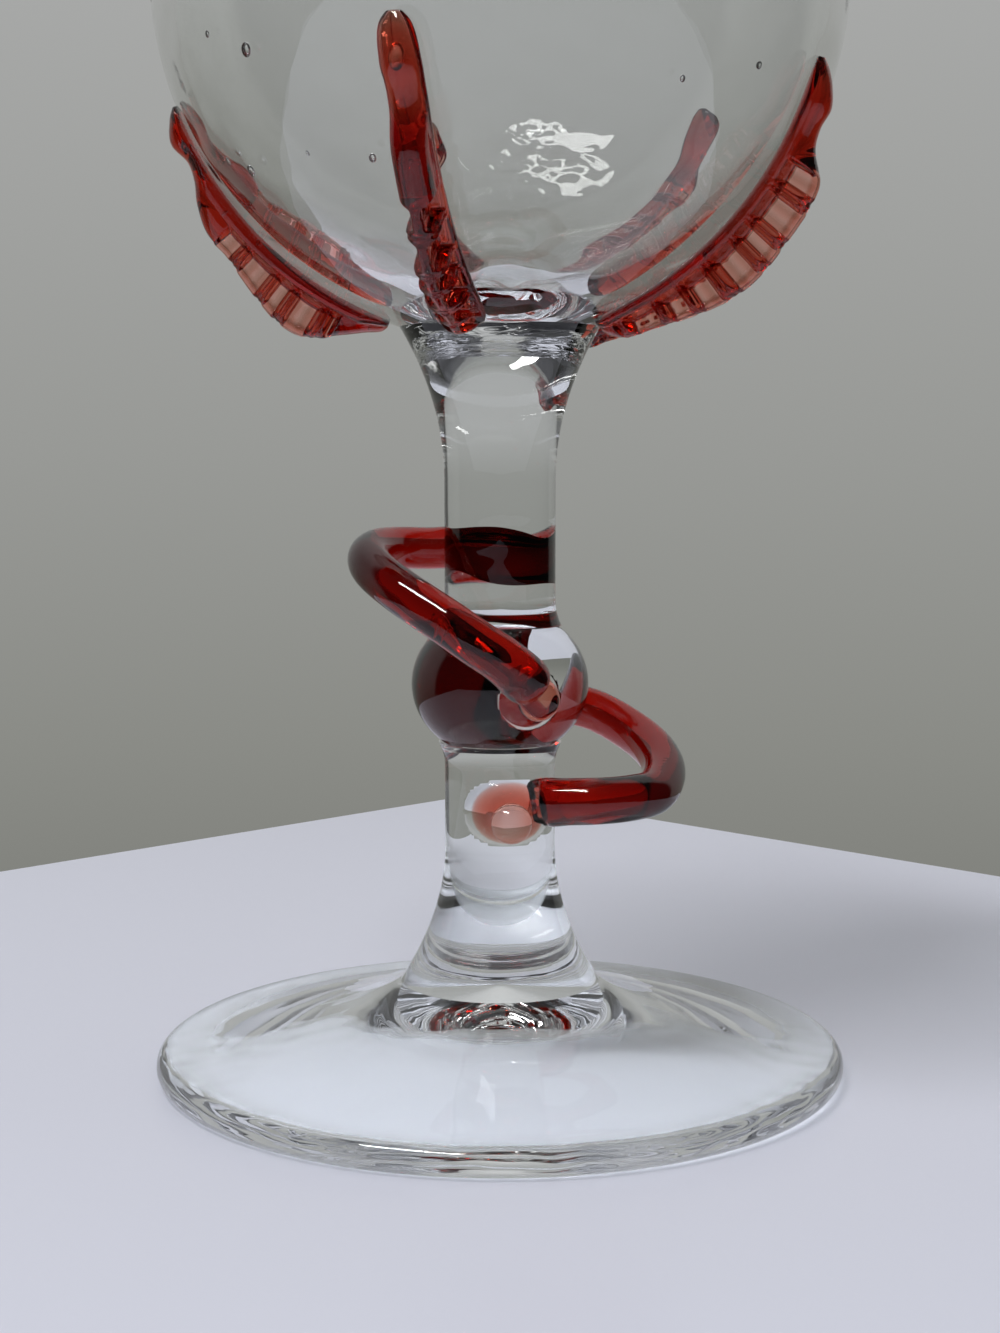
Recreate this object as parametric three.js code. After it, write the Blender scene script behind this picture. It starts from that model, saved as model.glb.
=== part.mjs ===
// A stemmed bud vase in clear glass: a blown globe with a narrow neck on a knopped stem and a
// spread foot, five crimped ruby straps laid up the underside of the globe, and two ruby rods
// that loop round the stem. Millimetres, +Z up, origin on the surface it stands on, under its axis.
import * as THREE from "three";

// Foot: a spread disc with a thick rounded rim, hollowed underneath.
const FOOT_RADIUS = 40;
const FOOT_HEIGHT = 10.5;
const FOOT_RIM_THICKNESS = 3.4;
const FOOT_REST_WIDTH = 3.8;
const FOOT_HOLLOW_DEPTH = 8.6;

// Stem: a solid waisted rod below and above the knop, trumpet-shaped where it meets foot and bowl.
const STEM_BASE_RADIUS = 11.6;
const STEM_RADIUS = 6.4;
const LOWER_STEM_LENGTH = 28;
const UPPER_STEM_LENGTH = 33.9;
const FOOT_TRUMPET_LENGTH = 16;
const BOWL_TRUMPET_LENGTH = 17;
const STEM_COLLAR_RADIUS = 7.1;
const STEM_COLLAR_LENGTH = 2.8;

// Knop: a squashed solid ball in the stem.
const KNOP_RADIUS = 10.25;
const KNOP_HEIGHT = 13.5;
const KNOP_SEAT_RADIUS = 6.6;

// Bowl: a blown globe, a little deeper below its widest line than above it.
const BOWL_RADIUS = 38.8;
const BOWL_LOWER_DEPTH = 40.2;
const BOWL_UPPER_DEPTH = 38.8;
const BOWL_WALL = 2.4;
const BOWL_SEAT_RADIUS = 11.4;
const BOWL_BASE_THICKNESS = 3;

// Neck: drawn in from the globe and flared at a fire-polished lip.
const NECK_BORE_RADIUS = 7;
const NECK_WALL = 2.2;
const NECK_RISE = 37;
const NECK_FILLET_HEIGHT = 14;
const LIP_RADIUS = 15;
const LIP_FLARE_HEIGHT = 13;
const SHOULDER_ANGLE = THREE.MathUtils.degToRad(60);

// Ruby straps: a flat spine on the globe with a pinched web that stands out from it.
const STRAP_HEIGHT = 6.3;
const STRAP_SPINE_THICKNESS = 1.6;
const STRAP_WIDTH = 6.2;
const STRAP_WEB_THICKNESS = 3.6;
const STRAP_ROOT_CLEARANCE = 1.2;
const CRIMP_PITCH = 3.4;
const CRIMP_DEPTH = 0.8;

// Ruby rods: each starts fused behind the stem and ends as a flattened blob in front of it.
const ROD_RADIUS = 2.55;
const UPPER_LOOP_START_HEIGHT = 8.4;
const UPPER_LOOP_SWING = 4.4;
const LOWER_LOOP_END_DROP = 7.2;
const LOWER_LOOP_SWING = 8.6;

// Ruby pieces lie this far off the clear glass that carries them.
const SEAT_GAP = 0.3;

// Heights of the joins, from the foot up, and of the globe's widest line.
const KNOP_BOTTOM = FOOT_HEIGHT + LOWER_STEM_LENGTH;
const KNOP_MIDDLE = KNOP_BOTTOM + KNOP_HEIGHT / 2;
const KNOP_TOP = KNOP_BOTTOM + KNOP_HEIGHT;
const BOWL_SEAT = KNOP_TOP + UPPER_STEM_LENGTH;
const BOWL_SEAT_ANGLE = Math.acos(BOWL_SEAT_RADIUS / BOWL_RADIUS);
const BOWL_MIDDLE = BOWL_SEAT + BOWL_LOWER_DEPTH * Math.sin(BOWL_SEAT_ANGLE);
const VASE_HEIGHT = BOWL_MIDDLE + BOWL_UPPER_DEPTH * Math.sin(SHOULDER_ANGLE) + NECK_RISE;

const WIDE_SIDES = 40;
const STEM_SIDES = 36;
const ROD_SIDES = 10;
const CURVE_STEPS = 4;

const clearGlass = new THREE.MeshStandardMaterial({
  color: 0xdde4e2,
  roughness: 0.04,
  metalness: 0,
  transparent: true,
  opacity: 0.35,
});
const rubyGlass = new THREE.MeshStandardMaterial({
  color: 0xb3261a,
  roughness: 0.08,
  metalness: 0,
  transparent: true,
  opacity: 0.8,
});

// Turns a profile of radius and height, which starts and ends on the axis, into a solid.
function turned(name, profile, sides) {
  const geometry = new THREE.LatheGeometry(profile, sides);
  geometry.rotateX(Math.PI / 2);
  const mesh = new THREE.Mesh(geometry, clearGlass.clone());
  mesh.name = name;
  return mesh;
}

// Skins a row of rings, each with the same number of points, and closes both ends.
function skinned(name, rings) {
  const count = rings[0].length;
  const points = rings.flat();
  const faces = [];
  for (let ring = 0; ring + 1 < rings.length; ring++) {
    for (let i = 0; i < count; i++) {
      const a = ring * count + i;
      const b = ring * count + ((i + 1) % count);
      faces.push(a, b, b + count, a, b + count, a + count);
    }
  }
  for (const [ring, turn] of [[0, 1], [rings.length - 1, 0]]) {
    const centre = new THREE.Vector3();
    rings[ring].forEach((point) => centre.addScaledVector(point, 1 / count));
    points.push(centre);
    for (let i = 0; i < count; i++) {
      const edge = [ring * count + i, ring * count + ((i + 1) % count)];
      faces.push(points.length - 1, edge[turn], edge[1 - turn]);
    }
  }
  const geometry = new THREE.BufferGeometry().setFromPoints(points);
  geometry.setIndex(faces);
  geometry.computeVertexNormals();
  const mesh = new THREE.Mesh(geometry, rubyGlass.clone());
  mesh.name = name;
  return mesh;
}

// A smooth function through a table of places along a piece, as shares, and values there.
function smoothTable(rows, column) {
  const places = rows.map((row) => row[0]);
  const values = rows.map((row) => row[column]);
  const curve = new THREE.CubicInterpolant(places, values, 1);
  return (place) => curve.evaluate(place)[0];
}

// Where the foot's curves bend: the hollow, across and up it, and the corner between the flat
// spread and the rise to the stem, across the spread and up the rise.
const HOLLOW_BEND_SHARES = [0.4, 0.65];
const FOOT_BEND_SHARES = [0.2, 0.3];

function footProfile() {
  const rim = FOOT_RIM_THICKNESS / 2;
  const rimCentre = FOOT_RADIUS - rim;
  const restInner = rimCentre - FOOT_REST_WIDTH;
  const topSpan = rimCentre - STEM_BASE_RADIUS;
  const topRise = FOOT_HEIGHT - FOOT_RIM_THICKNESS;
  const path = new THREE.Path();
  path.moveTo(0, FOOT_HOLLOW_DEPTH);
  path.quadraticCurveTo(
    restInner * HOLLOW_BEND_SHARES[0],
    FOOT_HOLLOW_DEPTH * HOLLOW_BEND_SHARES[1],
    restInner,
    0,
  );
  path.lineTo(rimCentre, 0);
  path.absarc(rimCentre, rim, rim, -Math.PI / 2, Math.PI / 2);
  path.quadraticCurveTo(
    STEM_BASE_RADIUS + topSpan * FOOT_BEND_SHARES[0],
    FOOT_RIM_THICKNESS + topRise * FOOT_BEND_SHARES[1],
    STEM_BASE_RADIUS,
    FOOT_HEIGHT,
  );
  path.lineTo(0, FOOT_HEIGHT);
  return path.getPoints(CURVE_STEPS);
}

function lowerStemProfile() {
  const waist = FOOT_HEIGHT + FOOT_TRUMPET_LENGTH;
  const collar = KNOP_BOTTOM - STEM_COLLAR_LENGTH;
  const path = new THREE.Path();
  path.moveTo(0, FOOT_HEIGHT);
  path.lineTo(STEM_BASE_RADIUS, FOOT_HEIGHT);
  path.quadraticCurveTo(STEM_RADIUS, (FOOT_HEIGHT + waist) / 2, STEM_RADIUS, waist);
  path.lineTo(STEM_RADIUS, collar);
  path.quadraticCurveTo(STEM_RADIUS, (collar + KNOP_BOTTOM) / 2, STEM_COLLAR_RADIUS, KNOP_BOTTOM);
  path.lineTo(0, KNOP_BOTTOM);
  return path.getPoints(CURVE_STEPS);
}

function knopProfile() {
  const seatShare = KNOP_SEAT_RADIUS / KNOP_RADIUS;
  const seatAngle = Math.acos(seatShare);
  const depth = KNOP_HEIGHT / 2 / Math.sin(seatAngle);
  const path = new THREE.Path();
  path.moveTo(0, KNOP_BOTTOM);
  path.lineTo(KNOP_SEAT_RADIUS, KNOP_BOTTOM);
  path.absellipse(0, KNOP_MIDDLE, KNOP_RADIUS, depth, -seatAngle, seatAngle);
  path.lineTo(0, KNOP_TOP);
  return path.getPoints(CURVE_STEPS);
}

function upperStemProfile() {
  const collar = KNOP_TOP + STEM_COLLAR_LENGTH;
  const waist = BOWL_SEAT - BOWL_TRUMPET_LENGTH;
  const path = new THREE.Path();
  path.moveTo(0, KNOP_TOP);
  path.lineTo(STEM_COLLAR_RADIUS, KNOP_TOP);
  path.quadraticCurveTo(STEM_RADIUS, (KNOP_TOP + collar) / 2, STEM_RADIUS, collar);
  path.lineTo(STEM_RADIUS, waist);
  path.quadraticCurveTo(STEM_RADIUS, (waist + BOWL_SEAT) / 2, BOWL_SEAT_RADIUS, BOWL_SEAT);
  path.lineTo(0, BOWL_SEAT);
  return path.getPoints(CURVE_STEPS);
}

// Where a wall of the globe leaves its round at the shoulder angle and runs on straight to the neck.
function shoulder(radius, depth, neckRadius) {
  const start = new THREE.Vector2(
    radius * Math.cos(SHOULDER_ANGLE),
    BOWL_MIDDLE + depth * Math.sin(SHOULDER_ANGLE),
  );
  const slope = depth / radius / Math.tan(SHOULDER_ANGLE);
  return { start, corner: start.y + (start.x - neckRadius) * slope };
}

function bowlProfile() {
  const neckOuter = NECK_BORE_RADIUS + NECK_WALL;
  const lip = NECK_WALL / 2;
  const lipCentre = LIP_RADIUS - lip;
  const flare = VASE_HEIGHT - LIP_FLARE_HEIGHT;
  const innerRadius = BOWL_RADIUS - BOWL_WALL;
  const innerUpperDepth = BOWL_UPPER_DEPTH - BOWL_WALL;
  const innerLowerDepth = BOWL_MIDDLE - BOWL_SEAT - BOWL_BASE_THICKNESS;
  const outside = shoulder(BOWL_RADIUS, BOWL_UPPER_DEPTH, neckOuter);
  const inside = shoulder(innerRadius, innerUpperDepth, NECK_BORE_RADIUS);
  const neckFoot = outside.corner + NECK_FILLET_HEIGHT / 2;
  const path = new THREE.Path();
  path.moveTo(0, BOWL_SEAT);
  path.lineTo(BOWL_SEAT_RADIUS, BOWL_SEAT);
  path.absellipse(0, BOWL_MIDDLE, BOWL_RADIUS, BOWL_LOWER_DEPTH, -BOWL_SEAT_ANGLE, 0);
  path.absellipse(0, BOWL_MIDDLE, BOWL_RADIUS, BOWL_UPPER_DEPTH, 0, SHOULDER_ANGLE);
  path.quadraticCurveTo(neckOuter, outside.corner, neckOuter, neckFoot);
  path.lineTo(neckOuter, flare);
  path.quadraticCurveTo(neckOuter, VASE_HEIGHT - NECK_WALL, lipCentre, VASE_HEIGHT - NECK_WALL);
  path.absarc(lipCentre, VASE_HEIGHT - lip, lip, -Math.PI / 2, Math.PI / 2);
  path.quadraticCurveTo(NECK_BORE_RADIUS, VASE_HEIGHT, NECK_BORE_RADIUS, flare);
  path.lineTo(NECK_BORE_RADIUS, neckFoot);
  path.quadraticCurveTo(NECK_BORE_RADIUS, inside.corner, inside.start.x, inside.start.y);
  path.absellipse(0, BOWL_MIDDLE, innerRadius, innerUpperDepth, SHOULDER_ANGLE, 0, true);
  path.absellipse(0, BOWL_MIDDLE, innerRadius, innerLowerDepth, 0, -Math.PI / 2, true);
  return path.getPoints(CURVE_STEPS);
}

// From tip to root of a strap: place, height, width and web thickness, each as a share of its
// own size. An even strap keeps its height, and a late one swells towards its root.
const EVEN_STRAP_SHARES = [
  [0, 0.08, 0.24, 0.3],
  [0.025, 0.2, 0.52, 0.75],
  [0.064, 0.34, 0.66, 1],
  [0.12, 0.47, 0.69, 1.06],
  [0.174, 0.43, 0.67, 1.03],
  [0.23, 0.52, 0.64, 0.97],
  [0.29, 0.84, 0.6, 0.92],
  [0.35, 0.93, 0.58, 0.9],
  [0.45, 0.96, 0.6, 0.9],
  [0.55, 1, 0.66, 0.95],
  [0.63, 0.96, 0.74, 1.05],
  [0.7, 0.85, 0.82, 1.15],
  [0.78, 0.7, 0.9, 1.25],
  [0.86, 0.56, 0.98, 1.35],
  [0.94, 0.48, 0.96, 1.3],
  [0.985, 0.3, 0.72, 0.9],
  [1, 0.12, 0.36, 0.4],
];
const LATE_STRAP_SHARES = [
  [0, 0.05, 0.24, 0.3],
  [0.03, 0.17, 0.5, 0.7],
  [0.1, 0.33, 0.7, 1],
  [0.17, 0.22, 0.72, 1],
  [0.23, 0.29, 0.71, 0.98],
  [0.29, 0.47, 0.68, 0.94],
  [0.375, 0.64, 0.67, 0.92],
  [0.46, 0.63, 0.7, 0.9],
  [0.54, 0.72, 0.76, 0.95],
  [0.63, 0.84, 0.84, 1.05],
  [0.71, 0.92, 0.91, 1.15],
  [0.79, 0.85, 0.98, 1.25],
  [0.87, 0.56, 1.04, 1.3],
  [0.94, 0.32, 1, 1.2],
  [0.985, 0.2, 0.7, 0.8],
  [1, 0.1, 0.36, 0.4],
];

// Each strap by name, with its shape, the compass angle of its tip and of its root, counted from
// the front towards the right, how far it bows to the right between them, and how far below the
// globe's widest line the tip lies, all in degrees.
const straps = [
  { name: "front_strap", shape: EVEN_STRAP_SHARES, turns: [-15.6, -17], bow: 2.4, tipDrop: 15.5 },
  { name: "right_strap", shape: EVEN_STRAP_SHARES, turns: [64, 60], bow: 1, tipDrop: 16.5 },
  { name: "back_right_strap", shape: EVEN_STRAP_SHARES, turns: [132, 138], bow: 0, tipDrop: 19.5 },
  { name: "back_left_strap", shape: LATE_STRAP_SHARES, turns: [-164.5, -159], bow: 0, tipDrop: 19.5 },
  { name: "left_strap", shape: LATE_STRAP_SHARES, turns: [-82, -82], bow: 0, tipDrop: 21.5 },
];
const CRIMP_START_SHARE = 0.3;
const CRIMP_END_SHARE = 0.92;
const STEPS_PER_CRIMP = 4;

// Outline of a strap's section on one side, from the globe out: side and height, as shares of
// the spine's half width and thickness, then of the web's half thickness and full height. Where
// the strap is low, its spine takes only a share of its height.
const SPINE_SIDE_SHARES = [[0.88, 0], [1, 0.45]];
const WEB_SIDE_SHARES = [[1.1, 0], [1, 0.8]];
const LOW_SPINE_SHARE = 0.6;

// The section of a strap at a place on it, as side and height off the globe.
function strapSection(height, halfWidth, halfWeb) {
  const spineTop = Math.min(STRAP_SPINE_THICKNESS, height * LOW_SPINE_SHARE);
  const side = SPINE_SIDE_SHARES.map(([out, up]) => [out * halfWidth, up * spineTop]);
  for (const [out, up] of WEB_SIDE_SHARES) {
    side.push([out * halfWeb, spineTop + up * (height - spineTop)]);
  }
  const mirrored = side.map(([out, up]) => [-out, up]).reverse();
  return [...side, [0, height], ...mirrored];
}

function strap({ name, shape, turns, bow, tipDrop }) {
  const tip = THREE.MathUtils.degToRad(tipDrop);
  const root = Math.acos((BOWL_SEAT_RADIUS + STRAP_ROOT_CLEARANCE) / BOWL_RADIUS);
  const length = (root - tip) * BOWL_RADIUS;
  const crimps = Math.round(length / CRIMP_PITCH);
  const steps = crimps * STEPS_PER_CRIMP;
  const heightShare = smoothTable(shape, 1);
  const widthShare = smoothTable(shape, 2);
  const webShare = smoothTable(shape, 3);
  const rings = [];
  for (let step = 0; step <= steps; step++) {
    const place = step / steps;
    const drop = THREE.MathUtils.lerp(tip, root, place);
    const bowed = bow * Math.sin(place * Math.PI);
    const turn = THREE.MathUtils.degToRad(THREE.MathUtils.lerp(...turns, place) + bowed);
    const crimped = place > CRIMP_START_SHARE && place < CRIMP_END_SHARE;
    const pinch = crimped && step % STEPS_PER_CRIMP ? CRIMP_DEPTH : 0;
    const away = new THREE.Vector3(Math.sin(turn), -Math.cos(turn), 0);
    const across = new THREE.Vector3(Math.cos(turn), Math.sin(turn), 0);
    const normal = away.clone().multiplyScalar(Math.cos(drop) / BOWL_RADIUS);
    normal.z = -Math.sin(drop) / BOWL_LOWER_DEPTH;
    normal.normalize();
    const seat = away.clone().multiplyScalar(BOWL_RADIUS * Math.cos(drop));
    seat.z = BOWL_MIDDLE - BOWL_LOWER_DEPTH * Math.sin(drop);
    seat.addScaledVector(normal, SEAT_GAP);
    const section = strapSection(
      heightShare(place) * STRAP_HEIGHT,
      (widthShare(place) * STRAP_WIDTH) / 2,
      (webShare(place) * STRAP_WEB_THICKNESS) / 2 - pinch,
    );
    rings.push(
      section.map(([out, up]) => seat.clone().addScaledVector(across, out).addScaledVector(normal, up)),
    );
  }
  return skinned(name, rings);
}

// The stem's own radius at a height, read off the profiles of the pieces that make it.
function stemRadiusAt(height, profiles) {
  let radius = 0;
  for (const profile of profiles) {
    for (let i = 0; i + 1 < profile.length; i++) {
      const [low, high] = [profile[i], profile[i + 1]];
      if (height < Math.min(low.y, high.y) || height > Math.max(low.y, high.y)) continue;
      const share = high.y === low.y ? 1 : (height - low.y) / (high.y - low.y);
      radius = Math.max(radius, THREE.MathUtils.lerp(low.x, high.x, share));
    }
  }
  return radius;
}

// Routes of the rods: compass angle in degrees, then the swing away from the stem and the drop
// from start to end, as shares.
const UPPER_LOOP_ROUTE_SHARES = [
  [-198, 0, -0.02],
  [-180, 0.04, 0],
  [-159, 0.26, 0.01],
  [-138, 0.64, 0],
  [-119, 0.93, -0.01],
  [-102, 1, 0],
  [-86, 1, 0.05],
  [-70, 0.9, 0.13],
  [-51, 0.69, 0.26],
  [-37, 0.53, 0.37],
  [-24, 0.45, 0.48],
  [-12, 0.42, 0.6],
  [0, 0.36, 0.72],
  [10, 0.22, 0.85],
  [21, 0, 1],
];
const LOWER_LOOP_ROUTE_SHARES = [
  [197, 0, -0.1],
  [185, 0, 0.03],
  [173, 0.04, 0.13],
  [162, 0.2, 0.19],
  [150, 0.43, 0.27],
  [137, 0.74, 0.38],
  [120, 0.93, 0.53],
  [105, 0.98, 0.65],
  [90, 0.98, 0.76],
  [73, 0.92, 0.85],
  [58, 0.8, 0.86],
  [44, 0.66, 0.86],
  [32, 0.42, 0.88],
  [21, 0.18, 0.92],
  [9, 0, 0.98],
];

// Thickness along a rod, as shares: its root is flattened on the stem and its end is a blob.
const ROD_SHAPE_SHARES = [
  [0, 0.9],
  [0.03, 1.2],
  [0.08, 1.25],
  [0.15, 1.04],
  [0.2, 1],
  [0.5, 1],
  [0.8, 1.02],
  [0.9, 1.1],
  [0.96, 1.3],
  [0.99, 1.2],
  [1, 0.8],
];
const ROD_STEPS = 44;

function rod(name, routeShares, from, to, swing, profiles) {
  const last = routeShares.length - 1;
  const points = routeShares.map(([degrees, out, down], i) => {
    const turn = THREE.MathUtils.degToRad(degrees);
    const reach = THREE.MathUtils.lerp(from.reach, to.reach, i / last) + out * swing;
    const height = THREE.MathUtils.lerp(from.height, to.height, down);
    return new THREE.Vector3(reach * Math.sin(turn), -reach * Math.cos(turn), height);
  });
  const route = new THREE.CatmullRomCurve3(points);
  const frames = route.computeFrenetFrames(ROD_STEPS);
  const thickness = smoothTable(ROD_SHAPE_SHARES, 1);
  const rings = [];
  for (let step = 0; step <= ROD_STEPS; step++) {
    const centre = route.getPointAt(step / ROD_STEPS);
    const radius = ROD_RADIUS * thickness(step / ROD_STEPS);
    const ring = [];
    for (let side = 0; side < ROD_SIDES; side++) {
      const angle = (side / ROD_SIDES) * 2 * Math.PI;
      const point = centre.clone();
      point.addScaledVector(frames.normals[step], radius * Math.cos(angle));
      point.addScaledVector(frames.binormals[step], radius * Math.sin(angle));
      const least = stemRadiusAt(point.z, profiles) + SEAT_GAP;
      const stretch = Math.max(1, least / Math.hypot(point.x, point.y));
      ring.push(new THREE.Vector3(point.x * stretch, point.y * stretch, point.z));
    }
    rings.push(ring);
  }
  return skinned(name, rings);
}

function buildVase() {
  const foot = footProfile();
  const lowerStem = lowerStemProfile();
  const knop = knopProfile();
  const upperStem = upperStemProfile();
  const stem = [lowerStem, knop, upperStem];
  const onStem = STEM_RADIUS + ROD_RADIUS;
  const onKnop = KNOP_RADIUS + ROD_RADIUS;

  const vase = new THREE.Group();
  vase.add(turned("foot", foot, WIDE_SIDES));
  vase.add(turned("lower_stem", lowerStem, STEM_SIDES));
  vase.add(turned("knop", knop, STEM_SIDES));
  vase.add(turned("upper_stem", upperStem, STEM_SIDES));
  vase.add(turned("bowl", bowlProfile(), WIDE_SIDES));
  straps.forEach((each) => vase.add(strap(each)));
  vase.add(
    rod(
      "upper_loop",
      UPPER_LOOP_ROUTE_SHARES,
      { reach: onStem, height: KNOP_TOP + UPPER_LOOP_START_HEIGHT },
      { reach: onKnop, height: KNOP_MIDDLE },
      UPPER_LOOP_SWING,
      stem,
    ),
  );
  vase.add(
    rod(
      "lower_loop",
      LOWER_LOOP_ROUTE_SHARES,
      { reach: onKnop, height: KNOP_MIDDLE },
      { reach: onStem, height: KNOP_BOTTOM - LOWER_LOOP_END_DROP },
      LOWER_LOOP_SWING,
      stem,
    ),
  );
  return vase;
}

const group = buildVase();
export default group;
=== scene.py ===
import math

import bpy
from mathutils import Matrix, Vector
from mathutils.bvhtree import BVHTree


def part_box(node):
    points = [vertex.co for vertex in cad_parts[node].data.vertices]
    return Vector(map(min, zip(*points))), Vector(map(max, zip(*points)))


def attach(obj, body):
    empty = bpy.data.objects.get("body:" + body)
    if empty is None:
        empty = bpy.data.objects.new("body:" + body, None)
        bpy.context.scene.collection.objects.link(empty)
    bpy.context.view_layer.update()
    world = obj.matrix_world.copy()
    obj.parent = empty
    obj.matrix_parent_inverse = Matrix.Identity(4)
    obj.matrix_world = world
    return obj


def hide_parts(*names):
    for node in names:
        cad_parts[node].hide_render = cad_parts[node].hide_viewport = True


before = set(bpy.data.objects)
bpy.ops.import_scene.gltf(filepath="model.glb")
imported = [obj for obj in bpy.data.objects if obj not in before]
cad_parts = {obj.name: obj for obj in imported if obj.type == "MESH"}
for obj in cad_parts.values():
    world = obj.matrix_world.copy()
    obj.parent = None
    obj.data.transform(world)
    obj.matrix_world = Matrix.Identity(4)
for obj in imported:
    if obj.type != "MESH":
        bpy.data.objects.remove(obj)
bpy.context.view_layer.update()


# Foot
# A disc of clear soda-lime glass, spread from a gather with wooden jacks while the stem turned,
# then fire-polished. Its rim is left thick and round, and it is hollowed beneath like a low
# cone, so that it stands on a ring. It is fused hot to the stem, with nothing between them.
MM = 0.001
GATHER_SIDES = 72
POLE_RADIUS = 0.4 * MM
JOIN_TOLERANCE = MM / 100
LEVEL_NORMAL = 0.999
GLASS_IOR = 1.5
FOOT_RIM = 3.4 * MM
FOOT_REST_WIDTH = 3.8 * MM
FOOT_HOLLOW = 8.6 * MM
RIM_ANGLES = (80, -90)

# Where the foot's top, and its hollow, bend most, as shares of how wide and how high each is.
FOOT_BEND_SHARES = (0.2, 0.3)
HOLLOW_BEND_SHARES = (0.4, 0.65)
foot_reach, _, foot_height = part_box("foot")[1]
stem_base_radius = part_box("lower_stem")[1].x


def bend(start, corner, end, steps):
    """Points after start on a curve that heads for a corner and swings round to the end."""
    points = []
    for step in range(1, steps + 1):
        along = step / steps
        shares = ((1 - along) ** 2, 2 * along * (1 - along), along * along)
        pulls = [(share * out, share * up) for share, (out, up) in zip(shares, (start, corner, end))]
        points.append(tuple(sum(pull) for pull in zip(*pulls)))
    return points


def round_off(centre, radii, first, last, steps):
    """Points on an ellipse about a centre, from one angle to another, in degrees."""
    points = []
    for step in range(steps + 1):
        angle = math.radians(first + (last - first) * step / steps)
        points.append((centre[0] + radii[0] * math.cos(angle), centre[1] + radii[1] * math.sin(angle)))
    return points


def linear(hex_colour):
    """An sRGB hex colour as the linear colour that a shader takes."""
    parts = [int(hex_colour[start : start + 2], 16) / 255 for start in (1, 3, 5)]
    return [part / 12.92 if part <= 0.04045 else ((part + 0.055) / 1.055) ** 2.4 for part in parts] + [1]


def add_node(tree, kind, values=(), links=(), **settings):
    """Adds a node with its settings, the values of its inputs and the outputs linked to them."""
    node = tree.nodes.new(kind)
    for name, value in settings.items():
        setattr(node, name, value)
    for name, value in dict(values).items():
        node.inputs[name].default_value = value
    for name, output in dict(links).items():
        tree.links.new(output, node.inputs[name])
    return node


def new_material(name):
    """An empty material, with its node tree and its output."""
    material = bpy.data.materials.new(name)
    material.use_nodes = True
    material.node_tree.nodes.clear()
    return material, material.node_tree, material.node_tree.nodes.new("ShaderNodeOutputMaterial")


def fire_polished(tree, tint, shade, wave, wave_height, darkened_root=None):
    """A glass surface with the slow waves that a gather keeps. Lamps shine through it in its shade.

    Where a piece's fused attribute is 1 it runs into other glass, so light isn't bent there. Where
    the other attribute that it reads is 1, the surface is painted darker in the colour given for it,
    and has the tint elsewhere."""
    place = add_node(tree, "ShaderNodeTexCoord")
    fused = add_node(tree, "ShaderNodeAttribute", attribute_name="fused")
    bending = add_node(
        tree, "ShaderNodeMapRange", {"To Min": GLASS_IOR, "To Max": 1.0}, {"Value": fused.outputs["Fac"]}
    )
    waves = add_node(
        tree, "ShaderNodeTexNoise", {"Scale": 1 / wave, "Detail": 1.0}, {"Vector": place.outputs["Object"]}
    )
    skin = add_node(
        tree, "ShaderNodeBump", {"Strength": 1.0, "Distance": wave_height}, {"Height": waves.outputs["Fac"]}
    )
    # The surface is painted darker where this attribute is 1.
    darkening = add_node(tree, "ShaderNodeAttribute", attribute_name="darkened_root")
    colour = add_node(
        tree,
        "ShaderNodeMix",
        {6: linear(tint), 7: linear(darkened_root or tint)},
        {0: darkening.outputs["Fac"]},
        data_type="RGBA",
    )
    glass = add_node(
        tree,
        "ShaderNodeBsdfPrincipled",
        {"Roughness": 0.0, "Transmission Weight": 1.0},
        {"Base Color": colour.outputs[2], "Normal": skin.outputs["Normal"], "IOR": bending.outputs["Result"]},
        name="glass",
    )
    lamp_light = add_node(tree, "ShaderNodeBsdfTransparent", {"Color": linear(shade)})
    path = add_node(tree, "ShaderNodeLightPath")
    return add_node(
        tree,
        "ShaderNodeMixShader",
        links={0: path.outputs["Is Shadow Ray"], 1: glass.outputs[0], 2: lamp_light.outputs[0]},
    )


# Soda-lime glass, blown and fire-polished: clear with a trace of grey-green where it is thick,
# glassy smooth, with faint waves that bend what is seen through it.
soda_lime, tree, output = new_material("soda-lime glass")
surface = fire_polished(tree, tint="#F9FBFA", shade="#CFD1D1", wave=7 * MM, wave_height=0.08 * MM)
tree.links.new(surface.outputs[0], output.inputs["Surface"])

# A hot join between two gathers of the same glass: nothing of it shows, and light runs on.
hot_join, tree, output = new_material("hot join in glass")
open_join = add_node(tree, "ShaderNodeBsdfTransparent")
tree.links.new(open_join.outputs[0], output.inputs["Surface"])


def face_outward():
    """Turns every face of the piece in edit mode outward, and leaves edit mode."""
    bpy.ops.mesh.select_all(action="SELECT")
    bpy.ops.mesh.normals_make_consistent(inside=False)
    bpy.ops.object.mode_set(mode="OBJECT")


def soften(piece):
    """Rounds a piece's skin by one step of subdivision."""
    smooth = piece.modifiers.new("smooth", "SUBSURF")
    smooth.levels = smooth.render_levels = 1
    bpy.ops.object.modifier_apply(modifier=smooth.name)


def edit_join_edges(piece):
    """Goes into edit mode with the edges round a piece's hot joins selected."""
    bpy.ops.object.mode_set(mode="EDIT")
    bpy.ops.mesh.select_mode(type="FACE")
    bpy.ops.mesh.select_all(action="DESELECT")
    piece.active_material_index = 1
    bpy.ops.object.material_slot_select()
    bpy.ops.mesh.region_to_loop()


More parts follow.
